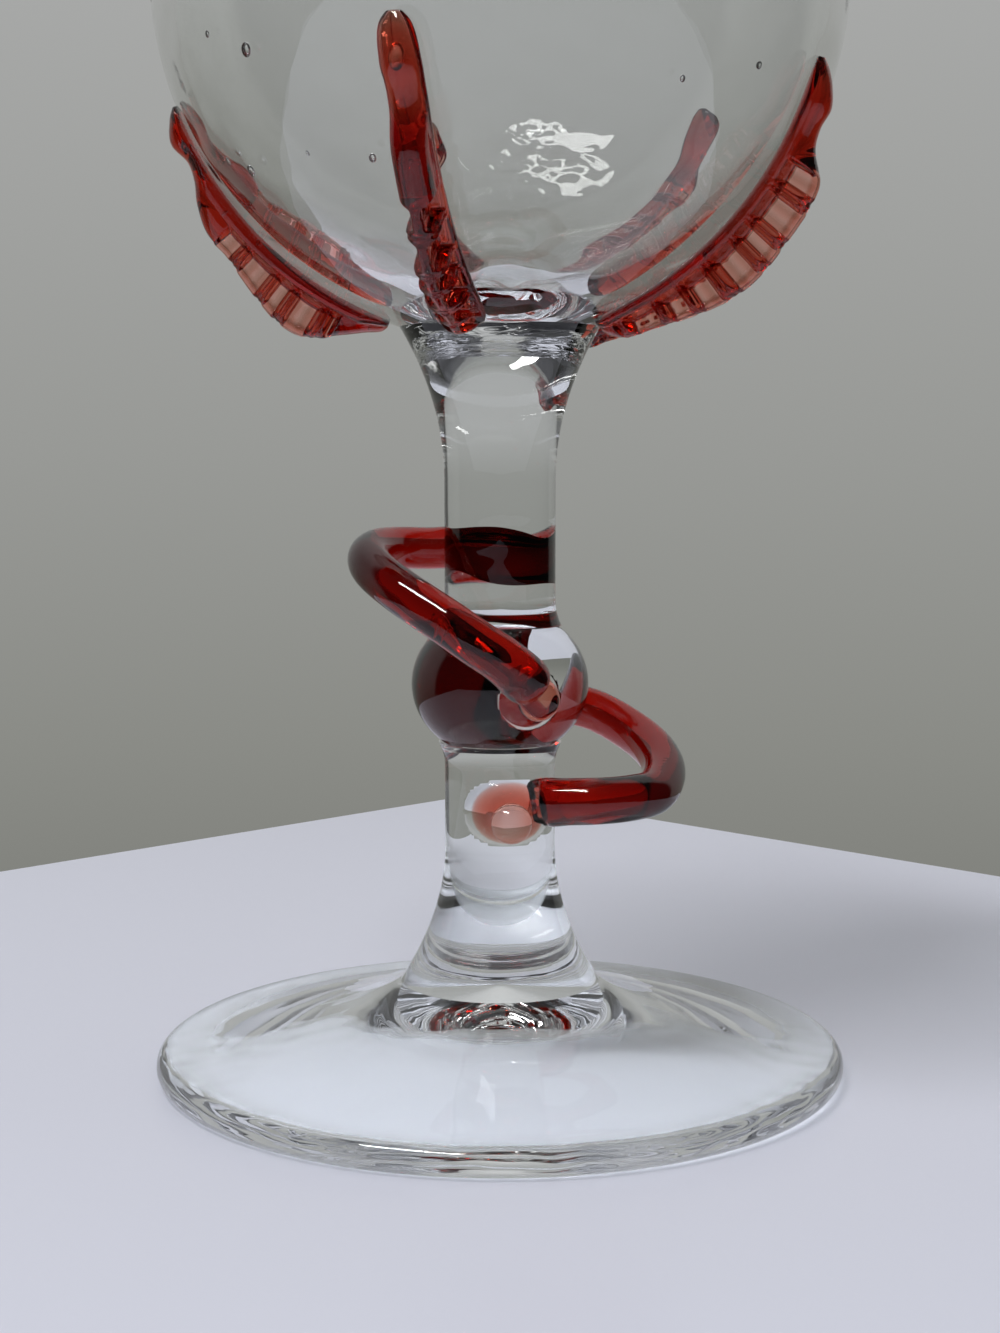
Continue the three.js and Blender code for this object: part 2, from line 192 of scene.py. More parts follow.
def gather(name, outline, joins, glass):
    """A gather worked round the axis: a ring drawn along an outline of radius and height.

    It is closed at both ends. Its flat ends at the heights in joins are hot joins, whose edges
    stay sharp."""
    bpy.ops.object.select_all(action="DESELECT")
    radius, height = outline[0]
    bpy.ops.mesh.primitive_circle_add(
        vertices=GATHER_SIDES, radius=radius, location=(0, 0, height), fill_type="TRIFAN"
    )
    bpy.ops.object.transform_apply(location=True)
    piece = bpy.context.object
    piece.name = piece.data.name = name
    bpy.ops.object.mode_set(mode="EDIT")
    bpy.ops.mesh.select_all(action="SELECT")
    bpy.ops.mesh.region_to_loop()
    for (low, base), (high, top) in zip(outline, outline[1:]):
        bpy.ops.mesh.extrude_edges_move(TRANSFORM_OT_translate={"value": (0, 0, top - base)})
        bpy.ops.transform.resize(value=(high / low, high / low, 1), center_override=(0, 0, 0))
    bpy.ops.mesh.extrude_edges_move(TRANSFORM_OT_translate={"value": (0, 0, 0)})
    bpy.ops.mesh.merge(type="CENTER")
    face_outward()
    piece.data.materials.append(glass)
    piece.data.materials.append(hot_join)
    for face in piece.data.polygons:
        at_join = any(abs(face.center.z - join) < JOIN_TOLERANCE for join in joins)
        face.material_index = 1 if at_join and abs(face.normal.z) > LEVEL_NORMAL else 0
    edit_join_edges(piece)
    bpy.ops.transform.edge_crease(value=1)
    bpy.ops.object.mode_set(mode="OBJECT")
    soften(piece)
    edit_join_edges(piece)
    bpy.ops.mesh.mark_sharp()
    bpy.ops.object.mode_set(mode="OBJECT")
    bpy.ops.object.shade_smooth()
    return piece


def fix(piece, node):
    """A finished piece stands for its node and has that node's slot."""
    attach(piece, "root")
    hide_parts(node)


rim_round = FOOT_RIM / 2
rim_centre = foot_reach - rim_round
rest_inner = rim_centre - FOOT_REST_WIDTH
foot_bend = (
    stem_base_radius + FOOT_BEND_SHARES[0] * (rim_centre - stem_base_radius),
    FOOT_RIM + FOOT_BEND_SHARES[1] * (foot_height - FOOT_RIM),
)
hollow_bend = (HOLLOW_BEND_SHARES[0] * rest_inner, HOLLOW_BEND_SHARES[1] * FOOT_HOLLOW)
foot_outline = [(stem_base_radius, foot_height)]
foot_outline += bend(foot_outline[0], foot_bend, (rim_centre, FOOT_RIM), steps=16)
foot_outline += round_off((rim_centre, rim_round), (rim_round, rim_round), *RIM_ANGLES, steps=12)
foot_outline += [(rest_inner, 0)]
foot_outline += bend((rest_inner, 0), hollow_bend, (POLE_RADIUS, FOOT_HOLLOW), steps=20)
foot = gather("foot_glass", foot_outline, [foot_height], soda_lime)
fix(foot, "foot")


# Lower stem
# A solid rod of clear glass, drawn out hot between foot and knop. It spreads like a trumpet on
# to the foot, and swells to a small collar where the knop is stuck on.
STEM_RADIUS = 6.4 * MM
FOOT_TRUMPET = 16 * MM
COLLAR_RADIUS = 7.1 * MM
COLLAR_LENGTH = 2.8 * MM
knop_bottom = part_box("knop")[0].z


def drawn_rod(start, *stretches):
    """The outline of a rod drawn out to the stem's radius, from its start up.

    Each stretch has the radius and the height that it ends at, and its number of steps."""
    outline = [start]
    for radius, height, steps in stretches:
        corner = (STEM_RADIUS, (outline[-1][1] + height) / 2)
        outline += bend(outline[-1], corner, (radius, height), steps)
    return outline


lower_stem_outline = drawn_rod(
    (stem_base_radius, foot_height),
    (STEM_RADIUS, foot_height + FOOT_TRUMPET, 14),
    (STEM_RADIUS, knop_bottom - COLLAR_LENGTH, 12),
    (COLLAR_RADIUS, knop_bottom, 6),
)
lower_stem = gather("lower_stem_glass", lower_stem_outline, [foot_height, knop_bottom], soda_lime)
fix(lower_stem, "lower_stem")


# Knop
# A squashed solid ball of clear glass in the middle of the stem, a gather of its own that was
# rolled round and stuck on hot. It shows the room behind it upside down, as a lens does.
KNOP_SEAT_RADIUS = 6.6 * MM
knop_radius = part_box("knop")[1].x
knop_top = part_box("knop")[1].z
knop_middle = (knop_bottom + knop_top) / 2
knop_seat_angle = math.degrees(math.acos(KNOP_SEAT_RADIUS / knop_radius))
knop_depth = (knop_top - knop_middle) / math.sin(math.radians(knop_seat_angle))
knop_outline = round_off(
    (0, knop_middle), (knop_radius, knop_depth), -knop_seat_angle, knop_seat_angle, steps=24
)
knop = gather("knop_glass", knop_outline, [knop_bottom, knop_top], soda_lime)
fix(knop, "knop")


# Upper stem
# The same solid rod above the knop. Its top spreads like a trumpet into the base of the globe,
# where the two were stuck together hot.
BOWL_TRUMPET = 17 * MM
bowl_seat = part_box("upper_stem")[1].z
bowl_seat_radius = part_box("upper_stem")[1].x
upper_stem_outline = drawn_rod(
    (COLLAR_RADIUS, knop_top),
    (STEM_RADIUS, knop_top + COLLAR_LENGTH, 6),
    (STEM_RADIUS, bowl_seat - BOWL_TRUMPET, 16),
    (bowl_seat_radius, bowl_seat, 14),
)
upper_stem = gather("upper_stem_glass", upper_stem_outline, [knop_top, bowl_seat], soda_lime)
fix(upper_stem, "upper_stem")


# Bowl
# A globe of clear glass, blown thin, with a narrow neck drawn up from it and a lip flared and
# fire-polished. A few seeds, which are small bubbles, are caught in its wall.
BOWL_WALL = 2.4 * MM
BOWL_BASE = 3 * MM
BOWL_LOWER_DEPTH = 40.2 * MM
SHOULDER_ANGLE = 60
POLE_ANGLE = -89
NECK_BORE = 7 * MM
NECK_WALL = 2.2 * MM
NECK_FILLET = 14 * MM
LIP_FLARE = 13 * MM
LIP_RADIUS = 15 * MM
LIP_ANGLES = (-60, 90)
bowl_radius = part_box("bowl")[1].x
bowl_upper_depth = bowl_radius
lip_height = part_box("bowl")[1].z
seat_angle = math.degrees(math.acos(bowl_seat_radius / bowl_radius))
bowl_middle = bowl_seat + BOWL_LOWER_DEPTH * math.sin(math.radians(seat_angle))


def shoulder(radius, depth, neck_radius):
    """Where a wall leaves the round of the globe, and the corner that it then heads for."""
    angle = math.radians(SHOULDER_ANGLE)
    start = (radius * math.cos(angle), bowl_middle + depth * math.sin(angle))
    slope = depth / radius / math.tan(angle)
    return start, (neck_radius, start[1] + (start[0] - neck_radius) * slope)


def on_globe(turn, drop, off=0.0):
    """A point off the globe's outside, at a compass angle and an angle below its widest line."""
    turn, drop = math.radians(turn), math.radians(drop)
    away = Vector((math.sin(turn), -math.cos(turn), 0))
    normal = away * (math.cos(drop) / bowl_radius)
    normal.z = -math.sin(drop) / BOWL_LOWER_DEPTH
    normal.normalize()
    point = away * (bowl_radius * math.cos(drop)) + normal * off
    point.z += bowl_middle - BOWL_LOWER_DEPTH * math.sin(drop)
    return point, normal


neck_outer = NECK_BORE + NECK_WALL
inner_radius = bowl_radius - BOWL_WALL
inner_upper_depth = bowl_upper_depth - BOWL_WALL
inner_lower_depth = bowl_middle - bowl_seat - BOWL_BASE
outer_start, outer_corner = shoulder(bowl_radius, bowl_upper_depth, neck_outer)
inner_start, inner_corner = shoulder(inner_radius, inner_upper_depth, NECK_BORE)
neck_foot = outer_corner[1] + NECK_FILLET / 2
flare = lip_height - LIP_FLARE
lip_under = lip_height - NECK_WALL
lip_round = NECK_WALL / 2
lip_centre = LIP_RADIUS - lip_round
middle = (0, bowl_middle)
bowl_outline = round_off(middle, (bowl_radius, BOWL_LOWER_DEPTH), -seat_angle, 0, steps=24)
bowl_outline += round_off(middle, (bowl_radius, bowl_upper_depth), 0, SHOULDER_ANGLE, steps=16)[1:]
bowl_outline += bend(outer_start, outer_corner, (neck_outer, neck_foot), steps=10)
bowl_outline += [(neck_outer, flare)]
bowl_outline += bend((neck_outer, flare), (neck_outer, lip_under), (lip_centre, lip_under), steps=10)
lip_middle = (lip_centre, lip_height - lip_round)
bowl_outline += round_off(lip_middle, (lip_round, lip_round), *LIP_ANGLES, steps=6)
bowl_outline += bend((lip_centre, lip_height), (NECK_BORE, lip_height), (NECK_BORE, flare), steps=10)
bowl_outline += [(NECK_BORE, neck_foot)]
bowl_outline += bend((NECK_BORE, neck_foot), inner_corner, inner_start, steps=10)
bowl_outline += round_off(middle, (inner_radius, inner_upper_depth), SHOULDER_ANGLE, 0, steps=16)[1:]
bowl_outline += round_off(middle, (inner_radius, inner_lower_depth), 0, POLE_ANGLE, steps=30)[1:]

# The same soda-lime glass, blown: its thin wall throws a soft grey shadow, and its waves are
# longer and higher.
blown_glass, tree, output = new_material("blown soda-lime glass")
surface = fire_polished(tree, tint="#FBFCFB", shade="#ABADAC", wave=8 * MM, wave_height=0.14 * MM)
tree.links.new(surface.outputs[0], output.inputs["Surface"])

# Cords, which are streaks of stiffer glass, lie in one spot of its wall, at the back, and break
# up what it mirrors there. They fade out from a share of their reach on.
CORDS_TURN = 169.6
CORDS_DROP = 29.5
CORDS_REACH = 11 * MM
CORDS_SIZE = 3.2 * MM
CORDS_HEIGHT = 0.24 * MM
CORDS_FADE_SHARE = 0.4
cords_spot, _ = on_globe(CORDS_TURN, CORDS_DROP)
place = add_node(tree, "ShaderNodeTexCoord")
cords = add_node(
    tree, "ShaderNodeTexNoise", {"Scale": 1 / CORDS_SIZE, "Detail": 1.0}, {"Vector": place.outputs["Object"]}
)
off = add_node(
    tree, "ShaderNodeVectorMath", {1: cords_spot}, {0: place.outputs["Object"]}, operation="DISTANCE"
)
spot = add_node(
    tree,
    "ShaderNodeMapRange",
    {
        "From Min": CORDS_FADE_SHARE * CORDS_REACH,
        "From Max": CORDS_REACH,
        "To Min": CORDS_HEIGHT,
        "To Max": 0.0,
    },
    {"Value": off.outputs["Value"]},
    interpolation_type="SMOOTHSTEP",
)
raised = add_node(
    tree, "ShaderNodeMath", links={0: cords.outputs["Fac"], 1: spot.outputs["Result"]}, operation="MULTIPLY"
)
glass = tree.nodes["glass"]
corded = add_node(
    tree,
    "ShaderNodeBump",
    {"Strength": 1.0, "Distance": 1.0},
    {"Height": raised.outputs[0], "Normal": glass.inputs["Normal"].links[0].from_socket},
)
tree.links.new(corded.outputs["Normal"], glass.inputs["Normal"])
bowl = gather("bowl_glass", bowl_outline, [bowl_seat], blown_glass)


def add_seeds(piece, seeds):
    """Bubbles caught in a piece, each a centre and three radii. Their skin faces the hollow."""
    for centre, radii in seeds:
        bpy.ops.object.select_all(action="DESELECT")
        bpy.ops.mesh.primitive_uv_sphere_add(segments=20, ring_count=12, radius=1, location=centre)
        bpy.ops.transform.resize(value=radii)
        bpy.ops.object.transform_apply(location=True, scale=True)
        seed = bpy.context.object
        bpy.ops.object.mode_set(mode="EDIT")
        bpy.ops.mesh.select_all(action="SELECT")
        bpy.ops.mesh.flip_normals()
        bpy.ops.object.mode_set(mode="OBJECT")
        bpy.ops.object.shade_smooth()
        seed.data.materials.append(piece.data.materials[0])
        piece.select_set(True)
        bpy.context.view_layer.objects.active = piece
        bpy.ops.object.join()


# Compass angle from the front towards the right and angle below the widest line, in degrees,
# and radius, of each seed in the middle of the globe's wall. Blowing drew them out upward.
BOWL_SEEDS = [
    (-44.5, 18.5, 0.6 * MM),
    (-57, 35.8, 0.55 * MM),
    (-64, 33.4, 0.4 * MM),
    (-24.4, 36.4, 0.4 * MM),
    (-53.6, 15, 0.3 * MM),
    (31, 24, 0.3 * MM),
    (118, 12, 0.45 * MM),
    (-130, 30, 0.4 * MM),
    (170, -25, 0.5 * MM),
    (75, -38, 0.35 * MM),
]
SEED_STRETCH = 1.25
seeds = []
for turn, drop, size in BOWL_SEEDS:
    centre, _ = on_globe(turn, drop, -BOWL_WALL / 2)
    seeds.append((centre, (size, size, SEED_STRETCH * size)))
add_seeds(bowl, seeds)
fix(bowl, "bowl")


# Ruby straps
# Five trails of ruby glass, laid hot on the underside of the globe from the stem up. Each was
# pinched into a web that stands out from a flat spine, and the web was crimped with a patterned
# tool, which left a row of thin panes between ridges. They are fused to the globe.
STRAP_HEIGHT = 6.3 * MM
STRAP_SPINE = 1.6 * MM
STRAP_WIDTH = 6.2 * MM
STRAP_WEB = 4 * MM
STRAP_PANE = 0.7 * MM
STRAP_RIM = 1.15 * MM
STRAP_ROOT_CLEARANCE = 1.2 * MM
FUSED_DEPTH = 0.2 * MM
CRIMP_PITCH = 3.4 * MM
COLUMNS_PER_CRIMP = 20
STRAP_ROWS = 60
MERGE_DISTANCE = MM / 1000
strap_root = math.degrees(math.acos((bowl_seat_radius + STRAP_ROOT_CLEARANCE) / bowl_radius))

# From tip to root of a strap: place, height, width and web thickness, each as a share of its own
# size. An even strap keeps its height, and a late one swells towards its root.
EVEN_STRAP_SHARES = [
    (0, 0.08, 0.24, 0.3),
    (0.025, 0.2, 0.52, 0.75),
    (0.064, 0.34, 0.66, 1),
    (0.12, 0.47, 0.69, 1.06),
    (0.174, 0.43, 0.67, 1.03),
    (0.23, 0.52, 0.64, 0.97),
    (0.29, 0.84, 0.6, 0.92),
    (0.35, 0.93, 0.58, 0.9),
    (0.45, 0.96, 0.6, 0.9),
    (0.55, 1, 0.66, 0.95),
    (0.63, 0.96, 0.74, 1.05),
    (0.7, 0.85, 0.82, 1.15),
    (0.78, 0.7, 0.9, 1.25),
    (0.86, 0.56, 0.98, 1.35),
    (0.94, 0.48, 0.96, 1.3),
    (0.985, 0.3, 0.72, 0.9),
    (1, 0.12, 0.36, 0.4),
]
LATE_STRAP_SHARES = [
    (0, 0.05, 0.24, 0.3),
    (0.03, 0.17, 0.5, 0.7),
    (0.1, 0.33, 0.7, 1),
    (0.17, 0.22, 0.72, 1),
    (0.23, 0.29, 0.71, 0.98),
    (0.29, 0.47, 0.68, 0.94),
    (0.375, 0.64, 0.67, 0.92),
    (0.46, 0.63, 0.7, 0.9),
    (0.54, 0.72, 0.76, 0.95),
    (0.63, 0.84, 0.84, 1.05),
    (0.71, 0.92, 0.91, 1.15),
    (0.79, 0.85, 0.98, 1.25),
    (0.87, 0.56, 1.04, 1.3),
    (0.94, 0.32, 1, 1.2),
    (0.985, 0.2, 0.7, 0.8),
    (1, 0.1, 0.36, 0.4),
]

# One side of a strap's section. The spine is flat beneath as far as a share of half the strap's
# width, and its side has heights as shares of the spine's and reaches as shares of that half.
SPINE_UNDER_SHARE = 0.4
SPINE_SIDE_SHARES = [(0.12, 0.72), (0.35, 0.92), (0.65, 1), (0.95, 0.93)]

# The web above it has heights as shares of its own. In a pane its foot is a collar, which reaches
# a share of half the strap's width, with a cove over it that is left a share thicker than the
# pane. Then come its side and its edge.
COLLAR_SHARES = (0.02, 0.75)
COVE_SHARES = (0.07, 0.3)
WEB_SIDE_SHARES = (0.14, 0.32, 0.52, 0.72)
WEB_EDGE_SHARES = (0.83, 0.89, 0.94, 0.98, 1)

# Where a strap is low, its spine is a share of its height, and the round of its top another.
LOW_SPINE_SHARE = 0.6
BEAD_SHARE = 0.75

# The crimps along a web, with lengths in crimps. A slit runs up the middle of a ridge, and is a
# share as deep as a pane. Slit and ridge are each given by where they start to fade and where
# they end. Ridges drift to and fro and panes ripple, each given by how far and how fast. A pane
# also spread upward by a share.
SLIT_REACH = (0.005, 0.05)
SLIT_DEPTH_SHARE = 0.7
RIDGE_REACH = (0.07, 0.2)
RIDGE_DRIFTS = [(0.12, 2.4), (0.04, 5.1)]
PANE_RIPPLE = (0.03, 14.3)
PANE_SPREAD = 0.04

# Bubbles caught in a strap's spine: place along it, height off the globe, offset to the right and
# radius. The front strap has a large one near its tip as well, the tear. All are drawn out.
STRAP_TEAR = (0.105, 1.4 * MM, -0.1 * MM, 0.72 * MM)
STRAP_BUBBLES = [
    (0.25, 1 * MM, 0.8 * MM, 0.15 * MM),
    (0.36, 0.8 * MM, -0.9 * MM, 0.14 * MM),
    (0.5, 0.8 * MM, 0.9 * MM, 0.16 * MM),
    (0.74, 0.8 * MM, -1.1 * MM, 0.18 * MM),
    (0.9, 0.8 * MM, 0.6 * MM, 0.2 * MM),
]
BUBBLE_STRETCH = 1.7

# Each strap by its node, with its shape, then its course: the compass angles of its tip and root,
# how far it bows to the right between them and how far below the widest line its tip lies, all in
# degrees. Then come the stretch of its length, as shares, that was crimped, and its bubbles.
STRAPS = [
    ("front_strap", EVEN_STRAP_SHARES, (-15.6, -17, 2.4, 15.5), (0.42, 0.95), [STRAP_TEAR] + STRAP_BUBBLES),
    ("right_strap", EVEN_STRAP_SHARES, (64, 60, 1, 16.5), (0.27, 0.94), STRAP_BUBBLES),
    ("back_right_strap", EVEN_STRAP_SHARES, (132, 138, 0, 19.5), (0.3, 0.94), STRAP_BUBBLES),
    ("back_left_strap", LATE_STRAP_SHARES, (-164.5, -159, 0, 19.5), (0.32, 0.8), STRAP_BUBBLES),
    ("left_strap", LATE_STRAP_SHARES, (-82, -82, 0, 21.5), (0.4, 0.84), STRAP_BUBBLES),
]

# Ruby glass, hand-drawn and fire-polished: the colour is in the body of the glass, so it is a
# pinkish grey where it is thin, orange-red a few millimetres thick, and near black in depth. Its
# roots, where they are fused on at the back, are painted darker than that depth of ruby makes them.
RUBY_COLOUR = "#ED7A00"
RUBY_DEPTH = 1300
ruby, tree, output = new_material("ruby glass")
surface = fire_polished(
    tree, tint="#FFFFFF", shade="#3A3838", wave=5 * MM, wave_height=0.03 * MM, darkened_root="#4C1811"
)
body = add_node(tree, "ShaderNodeVolumeAbsorption", {"Color": linear(RUBY_COLOUR), "Density": RUBY_DEPTH})
tree.links.new(surface.outputs[0], output.inputs["Surface"])
tree.links.new(body.outputs[0], output.inputs["Volume"])


def eased(rows, place, column):
    """A smooth value at a place in a table whose rows start with their place."""
    last = len(rows) - 1
    row = max(0, min(last - 1, sum(passed[0] <= place for passed in rows) - 1))
    start, end = rows[row], rows[row + 1]
    span = end[0] - start[0]
    along = (place - start[0]) / span

    def slope(at):
        before, after = rows[max(0, at - 1)], rows[min(last, at + 1)]
        return (after[column] - before[column]) / (after[0] - before[0]) * span

    return (
        (2 * along**3 - 3 * along**2 + 1) * start[column]
        + (along**3 - 2 * along**2 + along) * slope(row)
        + (3 * along**2 - 2 * along**3) * end[column]
        + (along**3 - along**2) * slope(row + 1)
    )


def smooth_step(low, high, value):
    """Rises from 0 at low to 1 at high, without a corner."""
    share = max(0.0, min(1.0, (value - low) / (high - low)))
    return share * share * (3 - 2 * share)


def wrapped(name, columns, rows, skin_at):
    """A closed trail of ruby glass: a sheet of columns and rows, shaped by a function.

    The function gives the point of the skin at a place along the trail and a lap round it."""
    bpy.ops.object.select_all(action="DESELECT")
    bpy.ops.mesh.primitive_grid_add(x_subdivisions=columns, y_subdivisions=rows, size=1)
    piece = bpy.context.object
    piece.name = piece.data.name = name
    for vertex in piece.data.vertices:
        vertex.co = skin_at(vertex.co.x + 0.5, vertex.co.y + 0.5)
    bpy.ops.object.mode_set(mode="EDIT")
    bpy.ops.mesh.select_all(action="SELECT")
    bpy.ops.mesh.remove_doubles(threshold=MERGE_DISTANCE)
    bpy.ops.mesh.fill_holes(sides=0)
    face_outward()
    piece.data.materials.append(ruby)
    soften(piece)
    bpy.ops.object.shade_smooth()
    return piece


def on_strap(course, place, off=0.0):
    """A point off the globe under a place on a strap, the globe's normal there and the way across."""
    tip_turn, root_turn, bow, tip = course
    turn = tip_turn + (root_turn - tip_turn) * place + bow * math.sin(math.pi * place)
    point, normal = on_globe(turn, tip + (strap_root - tip) * place, off)
    return point, normal, Vector((math.cos(math.radians(turn)), math.sin(math.radians(turn)), 0))


def strap_section(height, half_width, half_web, pane):
    """One side of a strap's section, from under the spine to the top of its rounded edge."""
    spine = min(STRAP_SPINE, height * LOW_SPINE_SHARE)
    web = height - spine
    thin = half_web + (min(half_web, STRAP_PANE / 2) - half_web) * pane
    edge = half_web + (min(half_web, STRAP_RIM / 2) - half_web) * pane
    collar = half_web + (COLLAR_SHARES[1] * half_width - half_web) * pane
    cove = thin + COVE_SHARES[1] * (half_web - thin)
    bead = min(edge, BEAD_SHARE * height)
    profile = [(share * spine, reach * half_width) for share, reach in SPINE_SIDE_SHARES]
    profile += [(spine + COLLAR_SHARES[0] * web, collar), (spine + COVE_SHARES[0] * web, cove)]
    profile += [(spine + share * web, thin) for share in WEB_SIDE_SHARES]
    profile += [(spine + share * web, edge) for share in WEB_EDGE_SHARES]
    section = [(0, -FUSED_DEPTH), (SPINE_UNDER_SHARE * half_width, -FUSED_DEPTH)]
    for level, reach in profile:
        rise = max(0, level - height + bead) / bead
        section.append((reach * math.sqrt(max(0, 1 - rise**2)), level))
    return section


def crimped_pane(place, crimped, crimps):
    """How far a place lies in a pane of the crimped web, from 0 on a ridge to 1 in the pane.

    The hand that crimped it didn't keep the ridges quite evenly apart, and the tool's skin left the
    panes a little uneven."""
    if not crimped[0] < place < crimped[1]:
        return 0.0
    count = (place - crimped[0]) * crimps
    drifts = [far * math.sin(fast * count) for far, fast in RIDGE_DRIFTS]
    cell = sum(drifts, count) % 1
    off_ridge = min(cell, 1 - cell)
    slit = SLIT_DEPTH_SHARE * (1 - smooth_step(*SLIT_REACH, off_ridge))
    uneven = 1 - PANE_RIPPLE[0] * (1 + math.sin(PANE_RIPPLE[1] * count))
    return max(slit, uneven * smooth_step(*RIDGE_REACH, off_ridge))


def strap_skin(shape, course, crimped):
    """The number of columns along a strap, and a function from a place on it to a point."""
    crimps = round(math.radians(strap_root - course[3]) * bowl_radius / CRIMP_PITCH)

    def skin_at(place, lap):
        seat, normal, across = on_strap(course, place)
        pane = crimped_pane(place, crimped, crimps)
        section = strap_section(
            eased(shape, place, 1) * STRAP_HEIGHT * (1 + PANE_SPREAD * pane),
            eased(shape, place, 2) * STRAP_WIDTH / 2,
            eased(shape, place, 3) * STRAP_WEB / 2,
            pane,
        )
        side = 2 * lap if lap <= 0.5 else 2 * (1 - lap)
        sign = 1 if lap <= 0.5 else -1
        rows = [(i, *point) for i, point in enumerate(section)]
        at = side * (len(rows) - 1)
        return seat + across * (sign * eased(rows, at, 1)) + normal * eased(rows, at, 2)

    return crimps * COLUMNS_PER_CRIMP, skin_at


for node, shape, course, crimped, bubbles in STRAPS:
    columns, skin_at = strap_skin(shape, course, crimped)
    strap = wrapped(node + "_glass", columns, STRAP_ROWS, skin_at)
    seeds = []
    for place, height, aside, size in bubbles:
        centre, _, across = on_strap(course, place, height)
        seeds.append((centre + across * aside, (size, size, BUBBLE_STRETCH * size)))
    add_seeds(strap, seeds)
    fix(strap, node)


# Ruby rods
# Two rods of ruby glass, drawn by hand and bent hot in a loop round the stem. Each starts fused
# to the back, and ends in front in a blob, pressed on and snapped off. The scar of each was
# fire-polished, and a drop of clear glass lies in it like a lens.
ROD_RADIUS = 2.55 * MM
UPPER_LOOP_START = 8.4 * MM
UPPER_LOOP_SWING = 4.4 * MM
LOWER_LOOP_END_DROP = 7.2 * MM
LOWER_LOOP_SWING = 8.6 * MM
ROD_COLUMNS = 110
ROD_ROWS = 32
MELT_GRAIN = 0.2 * MM
MELT_STEPS = 30
SEAM = 0.12 * MM
ROD_SUNK = 0.5 * MM
BLOB_PROUD = 1.5 * MM
SCAR_FLOOR = 0.1 * MM
WELL_WIDTH = 1 * MM
WELL_DEPTH = 3.6 * MM
WELL_SINK = 2.3 * MM
LENS_FLATTENING = 0.8
PRINT_FLATTENING = 0.6

# Routes of the rods: compass angle in degrees, then the swing away from the stem and the drop
# from start to end, as shares.
UPPER_LOOP_SHARES = [
    (-198, 0, 0.158),
    (-183, 0.02, 0.092),
    (-160, 0.26, 0),
    (-138, 0.64, 0),
    (-119, 0.93, -0.01),
    (-102, 1, 0),
    (-86, 1, 0.05),
    (-70, 0.9, 0.13),
    (-51, 0.69, 0.26),
    (-37, 0.53, 0.37),
    (-24, 0.45, 0.48),
    (-12, 0.42, 0.6),
    (0, 0.36, 0.72),
    (9, 0.24, 0.84),
    (18, 0.02, 0.97),
]
LOWER_LOOP_SHARES = [
    (192, 0, 0.136),
    (184, 0, -0.02),
    (172, 0.03, -0.13),
    (161, 0.16, 0.035),
    (150, 0.43, 0.25),
    (137, 0.74, 0.36),
    (120, 0.93, 0.53),
    (105, 0.98, 0.65),
    (90, 0.98, 0.76),
    (73, 0.92, 0.85),
    (58, 0.8, 0.86),
    (46, 0.66, 0.86),
    (38, 0.42, 0.87),
    (30, 0.16, 0.89),
    (22, -0.08, 0.91),
]

# Thickness along a rod, as place and thickness in shares. A root is pressed wide on the stem, and
# thinner on the knop, and both rods swell alike near their ends.
ROD_END_SHARES = [(0.2, 1), (0.5, 1), (0.9, 1.05), (0.97, 1.1), (1, 0.9)]
WIDE_ROOT_SHARES = [(0, 0.85), (0.03, 1.02), (0.08, 1.05), (0.15, 1.02)] + ROD_END_SHARES
THIN_ROOT_SHARES = [(0, 0.75), (0.03, 0.9), (0.08, 0.88), (0.15, 0.96)] + ROD_END_SHARES
stem_outline = lower_stem_outline + knop_outline + upper_stem_outline


def stem_radius_at(height):
    """The radius of the stem or the knop at a height."""
    radius = 0
    for (low, base), (high, top) in zip(stem_outline, stem_outline[1:]):
        if base <= height <= top and top > base:
            radius = max(radius, low + (high - low) * (height - base) / (top - base))
    return radius


def on_stem_at(turn, height, off=0.0):
    """A point off the stem, or the knop, at a compass angle and a height."""
    turn = math.radians(turn)
    reach = stem_radius_at(height) + off
    return Vector((reach * math.sin(turn), -reach * math.cos(turn), height))


def route_points(shares, start, end, swing):
    """The points that a rod's centre follows, from start to end, each a reach and a height."""
    points = []
    for i, (degrees, out, down) in enumerate(shares):
        reach = start[0] + (end[0] - start[0]) * i / (len(shares) - 1) + out * swing
        height = start[1] + (end[1] - start[1]) * down
        turn = math.radians(degrees)
        points.append(Vector((reach * math.sin(turn), -reach * math.cos(turn), height)))
    return points


def rod_skin(points, thickness):
    """A function from a place along a rod through these points, and a lap round it, to a point."""
    lengths = [0.0]
    for before, after in zip(points, points[1:]):
        lengths.append(lengths[-1] + (after - before).length)
    rows = [(length / lengths[-1], *point) for length, point in zip(lengths, points)]
    step = 0.005

    def centre_at(place):
        return Vector([eased(rows, place, column) for column in (1, 2, 3)])

    def skin_at(place, lap):
        centre = centre_at(place)
        along = (centre_at(min(1, place + step)) - centre_at(max(0, place - step))).normalized()
        outward = Vector((centre.x, centre.y, 0))
        outward = (outward - along * outward.dot(along)).normalized()
        aside = along.cross(outward)
        radius = ROD_RADIUS * eased(thickness, place, 1)
        centre -= outward * max(0, ROD_RADIUS - radius)
        angle = 2 * math.pi * lap
        point = centre + outward * (radius * math.cos(angle)) + aside * (radius * math.sin(angle))
        reach = math.hypot(point.x, point.y)
        stretch = max(1, (stem_radius_at(point.z) - ROD_SUNK) / reach)
        return Vector((point.x * stretch, point.y * stretch, point.z))

    return skin_at


def hold(piece):
    """Selects one piece alone and makes it the active one."""
    bpy.ops.object.select_all(action="DESELECT")
    piece.select_set(True)
    bpy.context.view_layer.objects.active = piece


